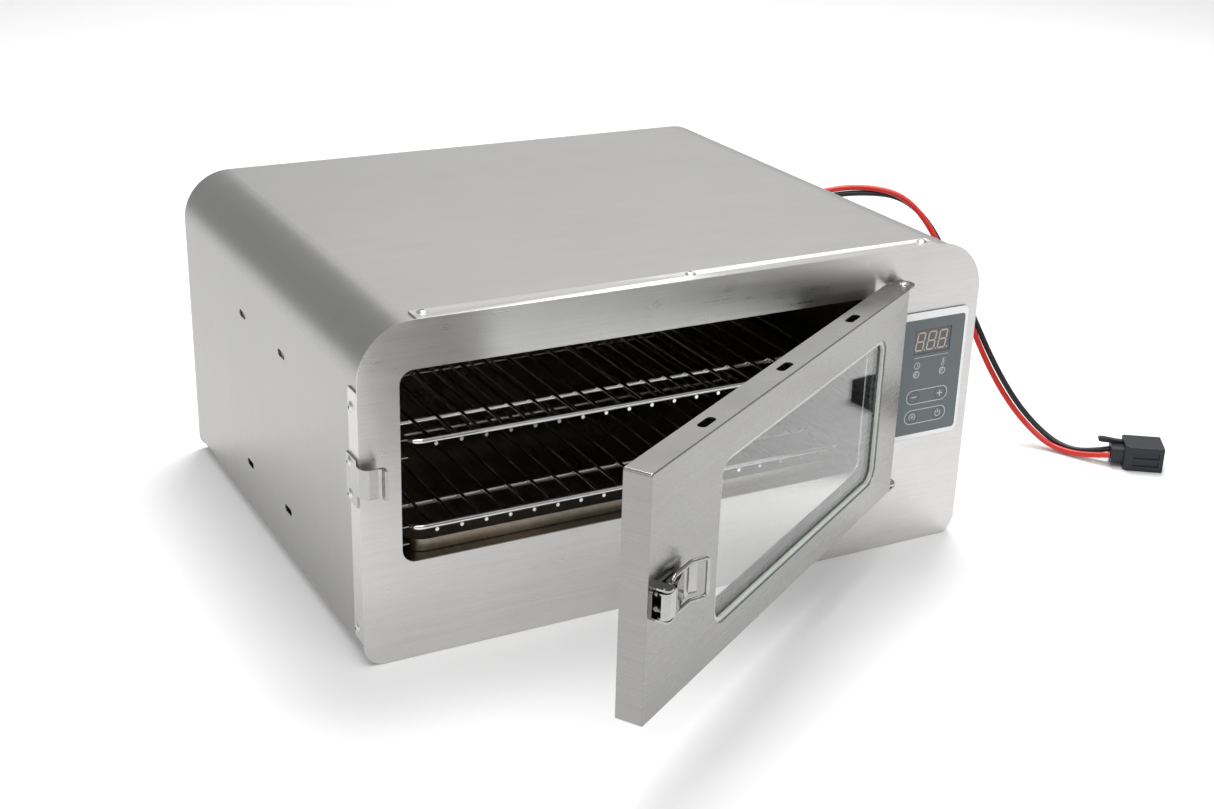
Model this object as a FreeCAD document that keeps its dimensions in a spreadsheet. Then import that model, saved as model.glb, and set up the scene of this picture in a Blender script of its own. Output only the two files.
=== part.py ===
"""Portable 12 V camping oven with a side-hinged glass door, as a parametric document.

Frame: +X to the oven's right seen from the front, the door faces -Y, +Z up. The origin is
the middle of the casing's footprint on the surface that it stands on. Millimetres.
The door and its latch are modelled shut in the door's own frame, whose Z axis is the hinge
axis, and turned open by door_angle as they are placed.
"""
import FreeCAD, Part

import math
import os
import re

import Sketcher
from FreeCAD import Placement, Rotation, Vector

os.makedirs("parts", exist_ok=True)
doc = FreeCAD.newDocument("CampingOven")
sheet = doc.addObject("Spreadsheet::Sheet", "Dims")

DIMENSIONS = {
    # casing
    "case_width": 400, "case_depth": 324, "case_height": 196,
    "top_radius": 32, "base_radius": 12,
    "panel_thick": 1, "wrap_thick": 0.8, "wrap_inset": 1.1, "flange_depth": 14,
    "wrap_return": 40, "corner_gap": 1.2,
    # oven opening in the front panel and the liner behind it
    "opening_left": -176.9, "opening_width": 294.9, "opening_base": 58.4,
    "opening_height": 110.6, "opening_radius": 8,
    "cavity_left": -180, "cavity_width": 301, "cavity_floor": 58.1, "cavity_top": 172,
    "cavity_depth": 279, "liner_thick": 0.6, "liner_radius": 5,
    # side wall slots, the same on both walls
    "slot_length": 12, "slot_width": 4.2, "slot_front": -34, "slot_rear": 40,
    "slot_low": 38.5, "slot_high": 137.5,
    # rivets
    "rivet_head": 3.3, "rivet_rise": 1.3, "rivet_shank": 1.6, "rivet_grip": 4,
    "rivet_bore": 0.9, "rivet_setback": 9.5, "rivet_side": 160,
    "rivet_low": 20, "rivet_high": 150,
    # racks and drip tray
    "rack_left": -169, "rack_width": 279, "rack_front": -153.4, "rack_depth": 262,
    "upper_rack_level": 124.3, "lower_rack_level": 73.5,
    "frame_wire": 1.6, "grid_wire": 1.1, "grid_pitch": 14.6, "grid_count": 18,
    "wire_bite": 0.2, "frame_corner": 8, "cross_setback": 38, "cross_reach": 5,
    "rail_width": 9.5, "rail_thick": 0.8, "rail_length": 250,
    "tray_left": -170, "tray_width": 281, "tray_front": -153, "tray_depth": 258,
    "tray_base": 58.6, "tray_rise": 7, "tray_thick": 0.8, "tray_corner": 12,
    # door, in its own frame
    "axis_x": 135.3, "axis_y": -170.9, "door_angle": 31.9,
    "door_edge": 6.3, "door_width": 310.5, "door_base": 48.3, "door_height": 129.9,
    "door_face": 6.1, "door_depth": 14.6, "door_thick": 1,
    "window_left": -245.5, "window_width": 209, "window_base": 66.5,
    "window_height": 91.3, "window_radius": 10,
    "vent_length": 14, "vent_width": 5, "vent_depth": 1.3,
    "vent_left": -250.4, "vent_middle": -163.1, "vent_right": -74.3,
    "glass_thick": 4, "glass_margin": 9, "gasket_thick": 1.5, "gasket_step": 2.5,
    "inner_face": 4.7, "inner_thick": 0.8, "inner_window_margin": 7, "seal_width": 3,
    "leaf_half": 6, "leaf_thick": 1.2, "leaf_gap": 0.1, "leaf_foot": 14,
    "pin_radius": 1.6, "pin_clearance": 0.06,
    # toggle latch, in the door's frame
    "latch_level": 112.2, "latch_pin_x": -309.8, "latch_pin_rise": 5.5,
    "latch_pin_radius": 1.25, "ear_half": 8.5, "ear_thick": 1, "ear_radius": 4.4,
    "barrel_radius": 3.3, "barrel_half": 6.8, "lever_half": 8.2, "lever_length": 33,
    "lever_thick": 1, "bail_wire": 1.1, "bail_half": 10.3, "bail_offset": 8, "bail_drop": 0.6,
    "bail_straight": 18, "bail_length": 27, "bail_step": 4.5,
    "keeper_half": 8.4, "keeper_thick": 1.2, "keeper_middle": 109.4, "keeper_rivet_setback": 11,
    # control panel
    "overlay_left": 140.5, "overlay_width": 53, "overlay_base": 72, "overlay_height": 83,
    "overlay_radius": 4, "overlay_thick": 0.8,
    "key_radius": 3.7, "key_gap": 0.2, "key_thick": 1.6, "key_left": 157.8, "key_right": 177.4,
    "key_high": 99.6, "key_low": 86.4,
    "display_left": 153.5, "display_width": 28, "display_base": 127.5, "display_height": 16,
    "led_radius": 1.5, "led_level": 114.5,
    # leads and connector
    "lead_radius": 2, "gland_y": 60, "gland_z": 159, "gland_reach": 12,
    "plug_x": 369.9, "plug_y": -123.9, "plug_heading": -35,
}
for row, (alias, size) in enumerate(DIMENSIONS.items(), start=1):
    sheet.set("A%d" % row, alias.replace("_", " "))
    sheet.set("B%d" % row, str(size))
    sheet.setAlias("B%d" % row, alias)
doc.recompute()

parts = {}


# ---------------------------------------------------------------- expressions and placing

def e(text):
    """Turn an expression in bare aliases into one that names the sheet."""
    def with_sheet(word):
        name = word.group()
        return "Dims." + name if name in DIMENSIONS else name

    return re.sub("[a-z_]+", with_sheet, text)


def value(text):
    """The number that an expression in aliases gives now."""
    result = sheet.evalExpression(e(text))
    return float(getattr(result, "Value", result))


def bind(thing, **sizes):
    """Bind the properties of a document object to expressions."""
    for name, text in sizes.items():
        thing.setExpression(name, e(text))


def place(thing, x="0", y="0", z="0"):
    """Bind an object's position."""
    for axis, text in (("x", x), ("y", y), ("z", z)):
        thing.setExpression("Placement.Base." + axis, e(text))


def keep(label, thing):
    """Name an object as a sub-part of the oven."""
    thing.Label = label
    parts[label] = thing
    return thing


def hang_on_door(label, thing):
    """Name a sub-part modelled in the door's frame and turn it open with the door."""
    thing.Placement = Placement(Vector(0, 0, 0), Rotation(Vector(0, 0, 1), value("door_angle")))
    place(thing, "axis_x", "axis_y")
    thing.setExpression("Placement.Rotation.Angle", e("door_angle"))
    return keep(label, thing)


# ---------------------------------------------------------------- sketches and features

def body(name):
    return doc.addObject("PartDesign::Body", name)


def sketch_on(solid, role, offset="0"):
    """A sketch on one of the body's origin planes, moved along that plane's normal."""
    sketch = solid.newObject("Sketcher::SketchObject", solid.Name + "_sketch")
    plane = [item for item in solid.Origin.OriginFeatures if item.Role == role][0]
    sketch.AttachmentSupport = [(plane, "")]
    sketch.MapMode = "FlatFace"
    sketch.setExpression("AttachmentOffset.Base.z", e(offset))
    return sketch


def dimension(sketch, kind, where, text):
    """Add a driving dimension bound to an expression."""
    number = sketch.addConstraint(Sketcher.Constraint(kind, *where, value(text)))
    sketch.setExpression("Constraints[%d]" % number, e(text))


def outline(sketch, left, base, width, height, radii=("0", "0", "0", "0")):
    """A rectangle with its own radius at each corner: base left, base right, top right, top left."""
    x0, y0 = value(left), value(base)
    x1, y1 = x0 + value(width), y0 + value(height)
    sizes = [value(text) for text in radii]
    corners = [(x0, y0, 1, 1), (x1, y0, -1, 1), (x1, y1, -1, -1), (x0, y1, 1, -1)]
    starts, ends = [], []
    for index, ((x, y, to_x, to_y), size) in enumerate(zip(corners, sizes)):
        across = Vector(x + to_x * size, y, 0)
        along = Vector(x, y + to_y * size, 0)
        ends.append(across if index % 2 else along)
        starts.append(along if index % 2 else across)
    lines = []
    for index in range(4):
        side = Part.LineSegment(starts[index], ends[(index + 1) % 4])
        lines.append(sketch.addGeometry(side))
    for index in range(4):
        sketch.addConstraint(Sketcher.Constraint("Horizontal" if index % 2 == 0 else "Vertical", lines[index]))
    for index, ((x, y, to_x, to_y), size) in enumerate(zip(corners, sizes)):
        before, after = lines[index - 1], lines[index]
        if size == 0:
            sketch.addConstraint(Sketcher.Constraint("Coincident", before, 2, after, 1))
            continue
        middle = Vector(x + to_x * size, y + to_y * size, 0)
        turn = math.pi + index * math.pi / 2
        circle = Part.Circle(middle, Vector(0, 0, 1), size)
        arc = sketch.addGeometry(Part.ArcOfCircle(circle, turn, turn + math.pi / 2))
        sketch.addConstraint(Sketcher.Constraint("Tangent", before, 2, arc, 1))
        sketch.addConstraint(Sketcher.Constraint("Tangent", arc, 2, after, 1))
        dimension(sketch, "Radius", (arc,), radii[index])
    dimension(sketch, "DistanceX", (-1, 1, lines[3], 1), left)
    dimension(sketch, "DistanceY", (-1, 1, lines[0], 1), base)
    dimension(sketch, "DistanceX", (lines[3], 1, lines[1], 1), width)
    dimension(sketch, "DistanceY", (lines[0], 1, lines[2], 1), height)


def circle(sketch, x, y, radius):
    """A circle placed from the sketch's origin."""
    ring = sketch.addGeometry(Part.Circle(Vector(value(x), value(y), 0), Vector(0, 0, 1), value(radius)))
    dimension(sketch, "Radius", (ring,), radius)
    dimension(sketch, "DistanceX", (-1, 1, ring, 3), x)
    dimension(sketch, "DistanceY", (-1, 1, ring, 3), y)


def obround(sketch, x, y, length, width):
    """A slot with round ends, long in the sketch's first direction."""
    end = "( %s ) * 0.4999" % width
    outline(sketch, "%s - ( %s ) / 2" % (x, length), "%s - ( %s ) / 2" % (y, width), length, width,
            (end, end, end, end))


def polygon(sketch, points):
    """A closed outline through points given as pairs of expressions."""
    places = [Vector(value(x), value(y), 0) for x, y in points]
    sides = []
    for index, start in enumerate(places):
        end = places[(index + 1) % len(places)]
        sides.append(sketch.addGeometry(Part.LineSegment(start, end)))
    for index, side in enumerate(sides):
        following = sides[(index + 1) % len(sides)]
        sketch.addConstraint(Sketcher.Constraint("Coincident", side, 2, following, 1))
        dimension(sketch, "DistanceX", (-1, 1, side, 1), points[index][0])
        dimension(sketch, "DistanceY", (-1, 1, side, 1), points[index][1])


def pad(solid, sketch, length, backwards=False, middle=False):
    """Pad a sketch along its normal, against it, or half each way."""
    feature = solid.newObject("PartDesign::Pad", solid.Name + "_pad")
    feature.Profile = sketch
    feature.Reversed = backwards
    feature.Midplane = middle
    bind(feature, Length=length)
    doc.recompute()
    return feature


def pocket(solid, sketch, length=None, backwards=False, middle=False):
    """Cut a sketch out against its normal, or right through both ways when no depth is given."""
    before = solid.Shape.Volume
    feature = solid.newObject("PartDesign::Pocket", solid.Name + "_pocket")
    feature.Profile = sketch
    feature.Reversed = backwards
    feature.Midplane = middle
    if length is None:
        feature.Type = "ThroughAll"
    else:
        bind(feature, Length=length)
    doc.recompute()
    if solid.Shape.Volume > before - 0.01:
        raise RuntimeError(feature.Name + " cuts nothing")
    return feature


def round_edges(solid, radius, chosen):
    """Fillet the body's edges that a test on their middle point and direction picks."""
    names = []
    for index, edge in enumerate(solid.Shape.Edges, start=1):
        if chosen(edge):
            names.append("Edge%d" % index)
    last = solid.Tip
    feature = solid.newObject("PartDesign::Fillet", solid.Name + "_fillet")
    feature.Base = (last, names)
    bind(feature, Radius=radius)
    doc.recompute()
    return feature


def upright(edge):
    """True for a straight edge along Z."""
    return edge.Curve.TypeId == "Part::GeomLine" and abs(edge.tangentAt(edge.FirstParameter).z) > 0.999


# ---------------------------------------------------------------- Part primitives

def box(name, x, y, z, length, width, height):
    """A box from its lowest corner, all six sizes bound."""
    block = doc.addObject("Part::Box", name)
    bind(block, Length=length, Width=width, Height=height)
    place(block, x, y, z)
    return block


def cylinder(name, x, y, z, radius, height, direction=Vector(0, 0, 1)):
    """A cylinder standing on a point and pointing in a direction."""
    rod = doc.addObject("Part::Cylinder", name)
    bind(rod, Radius=radius, Height=height)
    rod.Placement = Placement(Vector(0, 0, 0), Rotation(Vector(0, 0, 1), direction))
    place(rod, x, y, z)
    return rod


def fuse(name, pieces):
    joined = doc.addObject("Part::MultiFuse", name)
    joined.Shapes = pieces
    return joined


def cut(name, solid, tool):
    remainder = doc.addObject("Part::Cut", name)
    remainder.Base = solid
    remainder.Tool = tool
    return remainder


def rivet(name, x, y, z, direction):
    """A blind rivet: a domed head with its open bore, on a shank that reaches inwards."""
    outward = Rotation(Vector(0, 0, 1), direction)
    ball = "( rivet_head * rivet_head + rivet_rise * rivet_rise ) / ( 2 * rivet_rise )"
    dome = doc.addObject("Part::Sphere", name + "_dome")
    bind(dome, Radius=ball, Angle1="asin(1 - rivet_rise / ( %s ))" % ball)
    dome.Placement = Placement(outward.multVec(Vector(0, 0, value("rivet_rise - " + ball))), outward)
    shank = doc.addObject("Part::Cylinder", name + "_shank")
    bind(shank, Radius="rivet_shank", Height="rivet_grip + rivet_rise / 2")
    shank.Placement = Placement(outward.multVec(Vector(0, 0, -value("rivet_grip"))), outward)
    bore = doc.addObject("Part::Cylinder", name + "_bore")
    bind(bore, Radius="rivet_bore", Height="3 * rivet_rise")
    solid = cut(name, fuse(name + "_whole", [dome, shank]), bore)
    bore.Placement = Placement(Vector(0, 0, 0), outward)
    place(solid, x, y, z)
    return solid


LEFTWARD, RIGHTWARD, UPWARD = Vector(-1, 0, 0), Vector(1, 0, 0), Vector(0, 0, 1)
FORWARD, DOWNWARD = Vector(0, -1, 0), Vector(0, 0, -1)


# ---------------------------------------------------------------- casing

def flanges_on(solid, inset, backwards):
    """A flange along each straight side of an end panel, the bottom one flat on the floor."""
    flanges = sketch_on(solid, "XZ_Plane")
    side_height = "case_height - base_radius - top_radius - 6"
    outline(flanges, inset + " - case_width / 2", "base_radius + 2", "panel_thick", side_height)
    outline(flanges, "case_width / 2 - panel_thick - " + inset, "base_radius + 2", "panel_thick", side_height)
    outline(flanges, "top_radius + 2 - case_width / 2", "case_height - panel_thick - " + inset,
            "case_width - 2 * top_radius - 4", "panel_thick")
    outline(flanges, "base_radius + 2 - case_width / 2", "0",
            "case_width - 2 * base_radius - 4", "panel_thick")
    pad(solid, flanges, "flange_depth", backwards=backwards)


def make_front_panel():
    """The flat front: its flanges lap over the wrap and are riveted to it."""
    front = body("FrontPanel")
    face = sketch_on(front, "XZ_Plane")
    outline(face, "-case_width / 2", "0", "case_width", "case_height",
            ("base_radius", "base_radius", "top_radius", "top_radius"))
    outline(face, "opening_left", "opening_base", "opening_width", "opening_height",
            ("opening_radius",) * 4)
    outline(face, "overlay_left + 4", "overlay_base + 6", "overlay_width - 8",
            "overlay_height - 10", ("2", "2", "2", "2"))
    for level in ("door_base + door_thick + leaf_gap",
                  "door_base + door_height - door_thick - leaf_gap - leaf_thick"):
        outline(face, "axis_x - leaf_half - 0.1", level + " - 0.1", "2 * leaf_half + 0.2", "leaf_thick + 0.2")
    pad(front, face, "panel_thick", backwards=True)
    flanges_on(front, "0", backwards=True)
    top_holes = sketch_on(front, "XY_Plane", "case_height")
    for x in ("-rivet_side", "0", "rivet_side"):
        circle(top_holes, x, "rivet_setback", "rivet_shank")
    pocket(front, top_holes, "3 * panel_thick")
    side_holes = sketch_on(front, "YZ_Plane")
    for z in ("rivet_low", "rivet_high"):
        circle(side_holes, "rivet_setback", z, "rivet_shank")
    pocket(front, side_holes, middle=True)
    keeper_holes = sketch_on(front, "YZ_Plane", "5 - case_width / 2")
    for z in ("keeper_middle - 9", "keeper_middle + 9.5"):
        circle(keeper_holes, "keeper_rivet_setback", z, "rivet_shank")
    pocket(front, keeper_holes, "20")
    place(front, "0", "-case_depth / 2")
    keep("front_panel", front)


def make_rear_panel():
    """The flat back: its side and top flanges are spot-welded inside the wrap."""
    rear = body("RearPanel")
    face = sketch_on(rear, "XZ_Plane")
    outline(face, "wrap_inset - case_width / 2", "0", "case_width - 2 * wrap_inset", "case_height - wrap_inset",
            ("base_radius - wrap_inset", "base_radius - wrap_inset",
             "top_radius - wrap_inset", "top_radius - wrap_inset"))
    pad(rear, face, "panel_thick")
    flanges_on(rear, "( wrap_inset + wrap_thick )", backwards=False)
    place(rear, "0", "case_depth / 2")
    keep("rear_panel", rear)


def make_casing():
    make_front_panel()
    make_rear_panel()

    wrap = body("Wrap")
    ring = sketch_on(wrap, "XZ_Plane", "panel_thick - case_depth / 2")
    outline(ring, "wrap_inset - case_width / 2", "panel_thick", "case_width - 2 * wrap_inset",
            "case_height - wrap_inset - panel_thick",
            ("base_radius - wrap_inset", "base_radius - wrap_inset",
             "top_radius - wrap_inset", "top_radius - wrap_inset"))
    inside = "( wrap_inset + wrap_thick )"
    outline(ring, inside + " - case_width / 2", "panel_thick + wrap_thick",
            "case_width - 2 * " + inside,
            "case_height - panel_thick - wrap_inset - 2 * wrap_thick",
            ("base_radius - " + inside, "base_radius - " + inside,
             "top_radius - " + inside, "top_radius - " + inside))
    pad(wrap, ring, "case_depth - 2 * panel_thick - corner_gap")
    underside = sketch_on(wrap, "XY_Plane")
    outline(underside, "wrap_return - case_width / 2", "-case_depth / 2", "case_width - 2 * wrap_return",
            "case_depth")
    pocket(wrap, underside, "panel_thick + 2 * wrap_thick", backwards=True)
    wall_slots = sketch_on(wrap, "YZ_Plane")
    for y in ("slot_front", "slot_rear"):
        for z in ("slot_low", "slot_high"):
            obround(wall_slots, y, z, "slot_length", "slot_width")
    for z in ("rivet_low", "rivet_high"):
        circle(wall_slots, "rivet_setback - case_depth / 2", z, "rivet_shank")
    pocket(wrap, wall_slots, middle=True)
    keeper_holes = sketch_on(wrap, "YZ_Plane", "5 - case_width / 2")
    for z in ("keeper_middle - 9", "keeper_middle + 9.5"):
        circle(keeper_holes, "keeper_rivet_setback - case_depth / 2", z, "rivet_shank")
    pocket(wrap, keeper_holes, "20")
    gland_hole = sketch_on(wrap, "YZ_Plane", "case_width / 2 + 5")
    circle(gland_hole, "gland_y", "gland_z", "5")
    pocket(wrap, gland_hole, "20")
    roof_holes = sketch_on(wrap, "XY_Plane", "case_height")
    for x in ("-rivet_side", "0", "rivet_side"):
        circle(roof_holes, x, "rivet_setback - case_depth / 2", "rivet_shank")
    pocket(wrap, roof_holes, "6 * panel_thick")
    keep("outer_casing", wrap)

    base = body("Base")
    plate = sketch_on(base, "XY_Plane")
    outline(plate, "base_radius + 4 - case_width / 2", "flange_depth + 0.5 - case_depth / 2",
            "case_width - 2 * base_radius - 8", "case_depth - 2 * flange_depth - 1",
            ("4", "4", "4", "4"))
    pad(base, plate, "panel_thick")
    keep("base_plate", base)


def make_casing_rivets():
    side = "rivet_setback - case_depth / 2"
    heads = []
    for index, x in enumerate(("-rivet_side", "0", "rivet_side")):
        heads.append(rivet("RivetTop%d" % index, x, side, "case_height", UPWARD))
    for index, z in enumerate(("rivet_low", "rivet_high")):
        heads.append(rivet("RivetLeft%d" % index, "-case_width / 2", side, z, LEFTWARD))
        heads.append(rivet("RivetRight%d" % index, "case_width / 2", side, z, RIGHTWARD))
    keep("front_panel_rivets", fuse("PanelRivets", heads))


# ---------------------------------------------------------------- oven cavity

def make_liner():
    liner = body("Liner")
    shell = sketch_on(liner, "XZ_Plane", "case_depth / 2 - panel_thick")
    outline(shell, "cavity_left - liner_thick", "cavity_floor - liner_thick",
            "cavity_width + 2 * liner_thick", "cavity_top - cavity_floor + 2 * liner_thick",
            ("liner_radius + liner_thick",) * 4)
    pad(liner, shell, "cavity_depth + liner_thick", backwards=True)
    hollow = sketch_on(liner, "XZ_Plane", "case_depth / 2 - panel_thick")
    outline(hollow, "cavity_left", "cavity_floor", "cavity_width", "cavity_top - cavity_floor",
            ("liner_radius",) * 4)
    pocket(liner, hollow, "cavity_depth")
    probe_hole = sketch_on(liner, "YZ_Plane")
    circle(probe_hole, "60", "152", "2.6")
    pocket(liner, probe_hole, "cavity_left + cavity_width + 5", backwards=True)
    keep("oven_liner", liner)

    clear = "0.4"
    outside = "cavity_left - liner_thick"
    keep("insulation_left", box("InsulationLeft", outside + " - 16 - " + clear, "-150", "40", "16", "290", "106"))
    keep("insulation_top", box("InsulationTop", "cavity_left + 14", "-150", "cavity_top + liner_thick + 6.5",
                               "cavity_width - 20", "290", "14"))
    keep("insulation_bottom", box("InsulationBottom", "cavity_left", "-150", "26", "cavity_width", "290", "24"))
    rear_y = "cavity_depth + panel_thick + 2 * liner_thick - case_depth / 2"
    keep("insulation_rear", box("InsulationRear", "cavity_left", rear_y, "56", "cavity_width", "22", "112"))

    keep("lower_heating_element", box("LowerHeater", "cavity_left + 20", "-140",
                                      "cavity_floor - liner_thick - 2.4", "cavity_width - 40", "240", "2"))
    keep("upper_heating_element", box("UpperHeater", "cavity_left + 20", "-140",
                                      "cavity_top + liner_thick + 0.4", "cavity_width - 40", "240", "2"))


def rack(name, level):
    """A wire shelf: a round-cornered frame, grid wires under it, cross wires under those."""
    left, width = value("rack_left"), value("rack_width")
    front, depth = value("rack_front"), value("rack_depth")
    frame_radius, grid_radius = value("frame_wire"), value("grid_wire")
    corner = value("frame_corner")
    z = value(level)
    grid_z = z - frame_radius - grid_radius + value("wire_bite")
    cross_z = grid_z - grid_radius - frame_radius + value("wire_bite")

    right, rear = left + width, front + depth
    bend = corner * (1 - math.sqrt(0.5))
    edges = []
    for start, middle, end, run_end in (
            ((left + corner, front), None, None, (right - corner, front)),
            ((right - corner, front), (right - bend, front + bend), (right, front + corner), (right, rear - corner)),
            ((right, rear - corner), (right - bend, rear - bend), (right - corner, rear), (left + corner, rear)),
            ((left + corner, rear), (left + bend, rear - bend), (left, rear - corner), (left, front + corner)),
            ((left, front + corner), (left + bend, front + bend), (left + corner, front), None)):
        if middle:
            arc = Part.Arc(Vector(*start, z), Vector(*middle, z), Vector(*end, z))
            edges.append(arc.toShape())
            start = end
        if run_end:
            edges.append(Part.LineSegment(Vector(*start, z), Vector(*run_end, z)).toShape())
    path = Part.Wire(edges)
    section = Part.Wire(Part.makeCircle(frame_radius, Vector(left + corner, front, z), Vector(1, 0, 0)))
    frame = path.makePipeShell([section], True, False)

    wires = []
    margin = (width - (value("grid_count") - 1) * value("grid_pitch")) / 2
    for index in range(int(value("grid_count"))):
        x = left + margin + index * value("grid_pitch")
        start = Vector(x, front - frame_radius / 2, grid_z)
        wires.append(Part.makeCylinder(grid_radius, depth + frame_radius, start, Vector(0, 1, 0)))
    reach = value("cross_reach")
    setback = value("cross_setback")
    for y in (front + setback, front + depth / 2, rear - setback):
        start = Vector(left - reach, y, cross_z)
        wires.append(Part.makeCylinder(frame_radius, width + 2 * reach, start, Vector(1, 0, 0)))
    solid = doc.addObject("Part::Feature", name)
    solid.Shape = frame.multiFuse(wires)
    return solid


def make_racks():
    for label, level in (("upper_rack", "upper_rack_level"), ("lower_rack", "lower_rack_level")):
        keep(label, rack(label, level))
        drop = "2 * grid_wire + 3 * frame_wire - 2 * wire_bite + 0.3 + rail_thick"
        rise = drop + " + frame_wire + 0.9 + rail_thick"
        for side in ("left", "right"):
            rail = body("%s_rail_%s" % (label, side))
            channel = sketch_on(rail, "XZ_Plane")
            outline(channel, "0", "0", "rail_width", rise)
            pad(rail, channel, "rail_length", backwards=True)
            groove = sketch_on(rail, "XZ_Plane", "1")
            inset = "rail_thick" if side == "left" else "-1"
            outline(groove, inset, "rail_thick", "rail_width - rail_thick + 1", rise + " - 2 * rail_thick")
            pocket(rail, groove)
            x = "cavity_left + 0.1" if side == "left" else "cavity_left + cavity_width - rail_width - 0.1"
            place(rail, x, "rack_front - 2", level + " - ( " + drop + " )")
            keep("%s_rail_%s" % (label, side), rail)

    tray = body("DripTray")
    block = sketch_on(tray, "XY_Plane")
    outline(block, "tray_left", "tray_front", "tray_width", "tray_depth", ("tray_corner",) * 4)
    pad(tray, block, "tray_rise")
    hollow = sketch_on(tray, "XY_Plane", "tray_rise")
    outline(hollow, "tray_left + tray_thick", "tray_front + tray_thick", "tray_width - 2 * tray_thick",
            "tray_depth - 2 * tray_thick", ("tray_corner - tray_thick",) * 4)
    pocket(tray, hollow, "tray_rise - tray_thick")
    place(tray, "0", "0", "tray_base")
    keep("drip_tray", tray)


# ---------------------------------------------------------------- door

def make_door():
    shell = body("DoorShell")
    skin = sketch_on(shell, "XZ_Plane", "door_face")
    left = "-door_edge - door_width"
    outline(skin, left, "door_base", "door_width", "door_height", ("1.5",) * 4)
    pad(shell, skin, "door_depth", backwards=True)
    round_edges(shell, "0.9", lambda edge: edge.BoundBox.YMax < 0.01 - value("door_face"))
    hollow = sketch_on(shell, "XZ_Plane", "door_face - door_depth")
    outline(hollow, left + " + door_thick", "door_base + door_thick", "door_width - 2 * door_thick",
            "door_height - 2 * door_thick")
    pocket(shell, hollow, "door_depth - door_thick", backwards=True)
    window = sketch_on(shell, "XZ_Plane", "door_face + 1")
    outline(window, "window_left", "window_base", "window_width", "window_height", ("window_radius",) * 4)
    pocket(shell, window, "door_thick + 2")
    for level in ("door_base", "door_base + door_height - door_thick"):
        ear = sketch_on(shell, "XY_Plane", level)
        outline(ear, "-door_edge - 1", "-door_face", "2 * door_edge + 1", "2 * door_face",
                ("0", "door_face - 0.05", "door_face - 0.05", "0"))
        pad(shell, ear, "door_thick")
    vents = sketch_on(shell, "XY_Plane", "door_base + door_height + 1")
    for x in ("vent_left", "vent_middle", "vent_right"):
        obround(vents, x, "vent_depth", "vent_length", "vent_width")
    circle(vents, "0", "0", "pin_radius + pin_clearance")
    pocket(shell, vents)
    hang_on_door("door_shell", shell)

    inner = body("DoorInner")
    sheet_metal = sketch_on(inner, "XZ_Plane", "-inner_face")
    outline(sheet_metal, left + " + 1.2", "door_base + 1.2", "door_width - 2.4", "door_height - 2.4")
    outline(sheet_metal, "window_left + inner_window_margin", "window_base + inner_window_margin",
            "window_width - 2 * inner_window_margin", "window_height - 2 * inner_window_margin",
            ("window_radius - 2",) * 4)
    pad(inner, sheet_metal, "inner_thick", backwards=True)
    hang_on_door("door_inner_panel", inner)

    seal = body("DoorSeal")
    ring = sketch_on(seal, "XZ_Plane", "-inner_face - inner_thick")
    outline(ring, left + " + 1.3", "door_base + 1.3", "door_width - 2.6", "door_height - 2.6",
            ("2", "2", "2", "2"))
    outline(ring, left + " + 1.3 + seal_width", "door_base + 1.3 + seal_width",
            "door_width - 2.6 - 2 * seal_width", "door_height - 2.6 - 2 * seal_width", ("1", "1", "1", "1"))
    pad(seal, ring, "door_depth - door_face - inner_face - inner_thick", backwards=True)
    hang_on_door("door_seal", seal)

    gasket = body("GlassGasket")
    band = sketch_on(gasket, "XZ_Plane", "door_face - door_thick")
    outline(band, "window_left - glass_margin", "window_base - glass_margin",
            "window_width + 2 * glass_margin", "window_height + 2 * glass_margin", ("3", "3", "3", "3"))
    outline(band, "window_left + gasket_step", "window_base + gasket_step",
            "window_width - 2 * gasket_step", "window_height - 2 * gasket_step",
            ("window_radius - gasket_step",) * 4)
    pad(gasket, band, "gasket_thick", backwards=True)
    hang_on_door("glass_gasket", gasket)

    glass = body("DoorGlass")
    pane = sketch_on(glass, "XZ_Plane", "door_face - door_thick - gasket_thick")
    outline(pane, "window_left - glass_margin + 0.5", "window_base - glass_margin + 0.5",
            "window_width + 2 * glass_margin - 1", "window_height + 2 * glass_margin - 1",
            ("3", "3", "3", "3"))
    pad(glass, pane, "glass_thick", backwards=True)
    hang_on_door("door_glass", glass)

    behind_glass = "glass_thick + gasket_thick + door_thick - door_face"
    for label, level in (("glass_retainer_lower", "window_base - glass_margin"),
                         ("glass_retainer_upper", "window_base + window_height + glass_margin - 5")):
        bar = body("Strip_" + label)
        strip = sketch_on(bar, "XZ_Plane", "-( " + behind_glass + " )")
        outline(strip, "window_left", level, "window_width", "5")
        pad(bar, strip, "inner_face - ( " + behind_glass + " )", backwards=True)
        hang_on_door(label, bar)


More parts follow.
